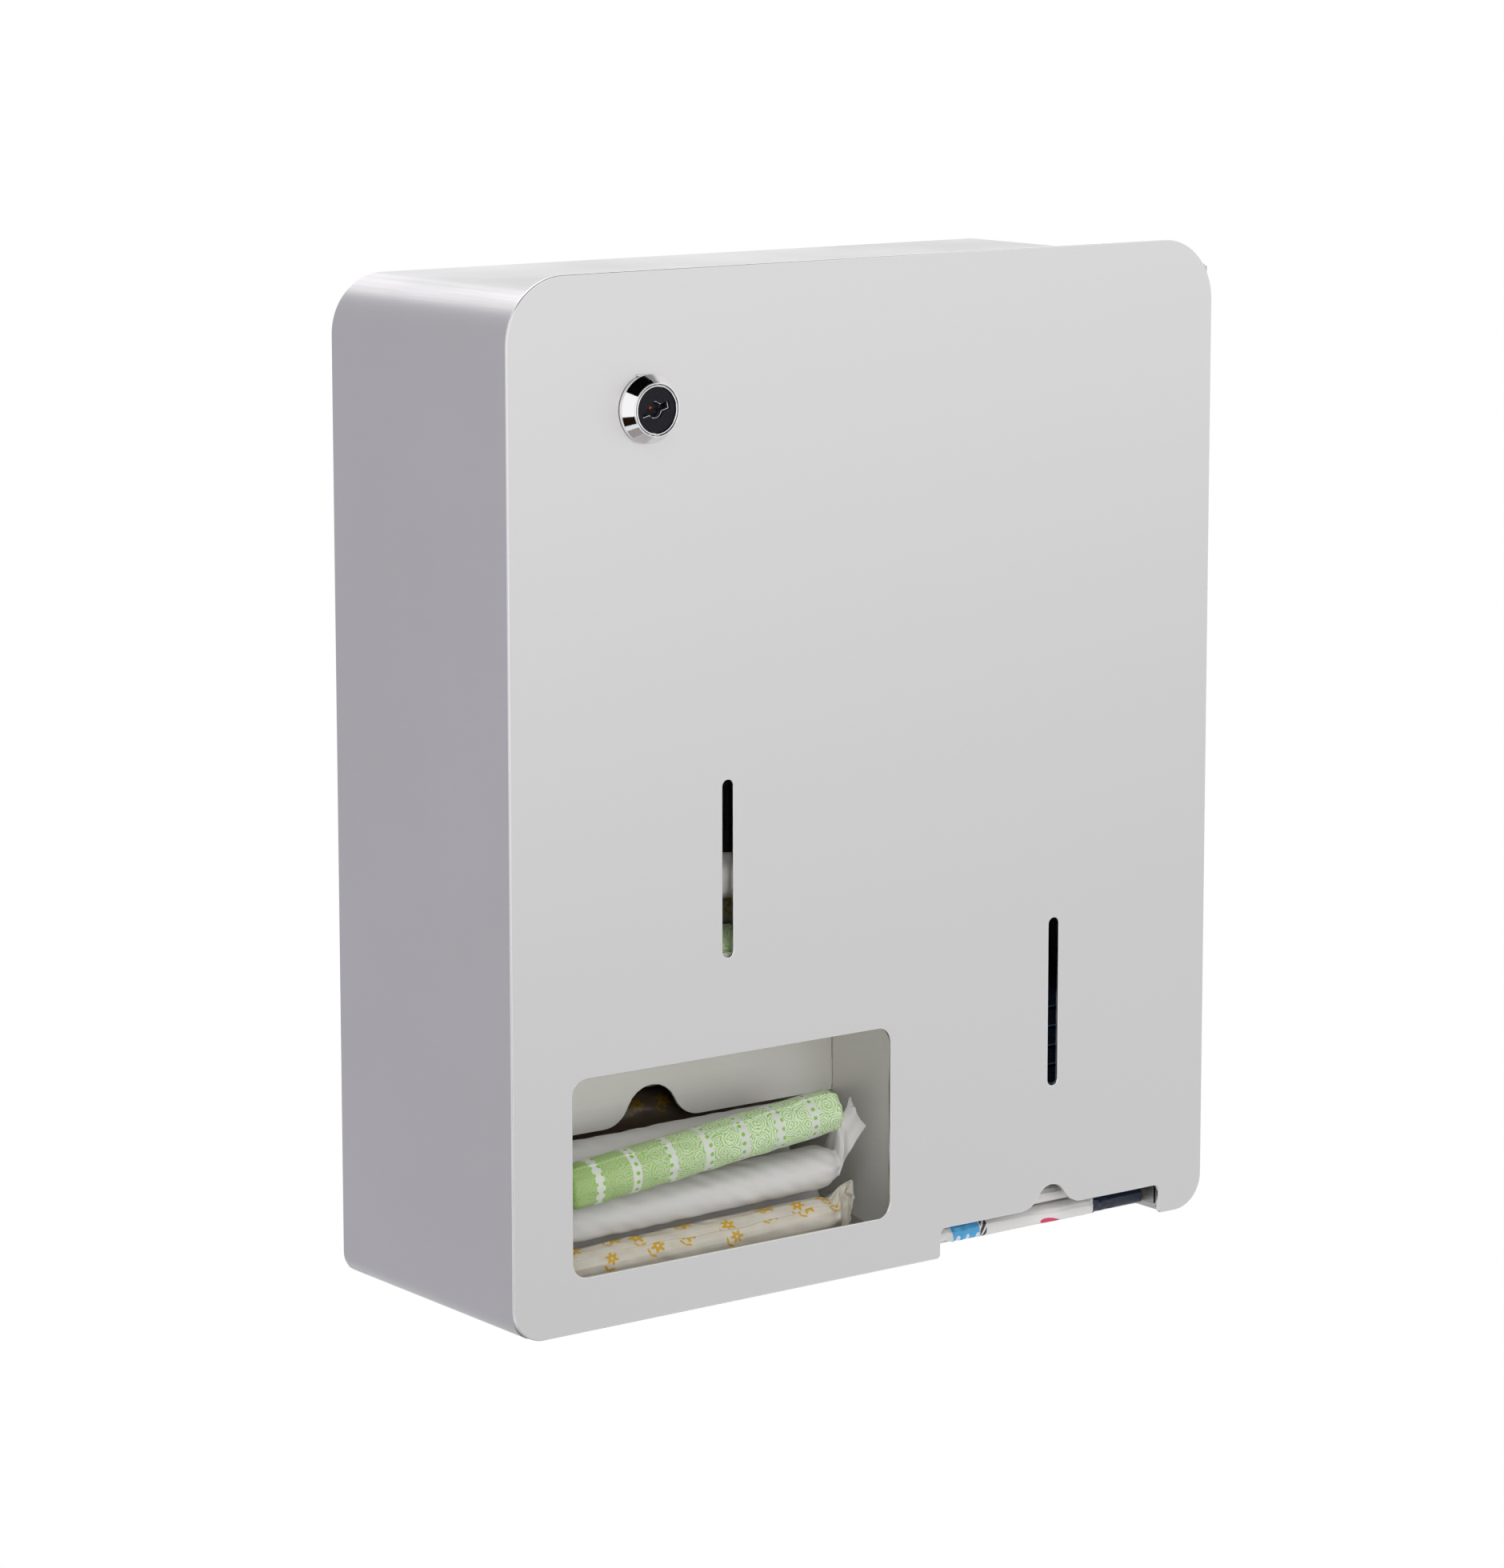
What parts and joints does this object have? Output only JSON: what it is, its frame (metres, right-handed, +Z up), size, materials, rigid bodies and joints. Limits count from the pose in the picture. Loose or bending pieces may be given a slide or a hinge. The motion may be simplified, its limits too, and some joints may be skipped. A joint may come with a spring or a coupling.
{
  "type": "tampon and pad dispenser",
  "caption": "Wall-mounted sheet-steel dispenser with a hinged, locked front plate, a window for tampons, a notch for pads and viewing slots.",
  "frame": {"origin": "the wall face of the back panel, on the centre lines of the front plate", "axes": "+Z up, +X to the right seen from the front, +Y into the wall, so the front plate faces -Y"},
  "size_m": [0.3, 0.1116, 0.35],
  "materials": {
    "satin_stainless": "satin",
    "zinc_plated_steel": "zinc-plated",
    "lock_chrome": "polished",
    "lock_black": "gloss",
    "pad_wrapper": "soft film",
    "green_wrapper": "printed paper",
    "white_wrapper": "paper",
    "floral_wrapper": "printed translucent film"
  },
  "bodies": {
    "case": {"case_wrap": "satin_stainless", "back_panel": "satin_stainless", "bottom_panel": "satin_stainless", "tampon_left_plate": "satin_stainless", "tampon_right_plate": "satin_stainless", "tampon_baffle": "satin_stainless", "tray_floor": "satin_stainless", "pad_left_plate": "satin_stainless", "pad_right_plate": "satin_stainless", "lock_strike": "satin_stainless", "hinge_case_leaf": "satin_stainless", "hinge_pin": "satin_stainless", "hinge_rivet_1": "satin_stainless", "hinge_rivet_2": "satin_stainless", "hinge_rivet_3": "satin_stainless", "pad_02": "pad_wrapper", "pad_03": "pad_wrapper", "pad_04": "pad_wrapper", "pad_05": "pad_wrapper", "pad_06": "pad_wrapper", "pad_07": "pad_wrapper", "pad_08": "pad_wrapper", "pad_09": "pad_wrapper", "pad_10": "pad_wrapper", "pad_11": "pad_wrapper", "pad_12": "pad_wrapper", "tampon_01": "floral_wrapper", "tampon_02": "white_wrapper", "tampon_03": "white_wrapper", "tampon_04": "white_wrapper", "tampon_05": "white_wrapper", "tampon_06": "white_wrapper", "tampon_07": "white_wrapper", "tampon_08": "white_wrapper", "tampon_09": "white_wrapper", "tampon_11": "white_wrapper", "tampon_12": "white_wrapper", "tampon_13": "white_wrapper", "tampon_14": "white_wrapper", "tampon_15": "white_wrapper", "tampon_16": "white_wrapper"},
    "door": {"door_panel": "satin_stainless", "hinge_door_leaf": "satin_stainless", "hinge_nut_1": "zinc_plated_steel", "hinge_nut_2": "zinc_plated_steel", "hinge_nut_3": "zinc_plated_steel", "lock_housing": "lock_chrome", "lock_nut": "zinc_plated_steel"},
    "lock plug": {"lock_plug": "lock_chrome", "lock_disc": "lock_black", "lock_cam": "zinc_plated_steel", "lock_washer": "zinc_plated_steel", "lock_screw": "zinc_plated_steel"},
    "bottom pad": {"pad_01": "pad_wrapper"},
    "front tampon": {"tampon_10": "green_wrapper"}
  },
  "joints": [
    {"name": "door_hinge", "type": "hinge", "parent": "case", "child": "door", "pos_m": [0.1481, -0.1025, 0], "axis": [0, 0, 1], "range_deg": [0, 150]},
    {"name": "lock_turn", "type": "hinge", "parent": "door", "child": "lock plug", "pos_m": [-0.095, -0.1058, 0.13], "axis": [0, 1, 0], "range_deg": [0, 90]},
    {"name": "pad_pull", "type": "slide", "parent": "case", "child": "bottom pad", "axis": [0, -1, 0], "range_m": [0, 0.105]},
    {"name": "tampon_pull", "type": "slide", "parent": "case", "child": "front tampon", "axis": [0, -1, 0], "range_m": [0, 0.06]}
  ]
}
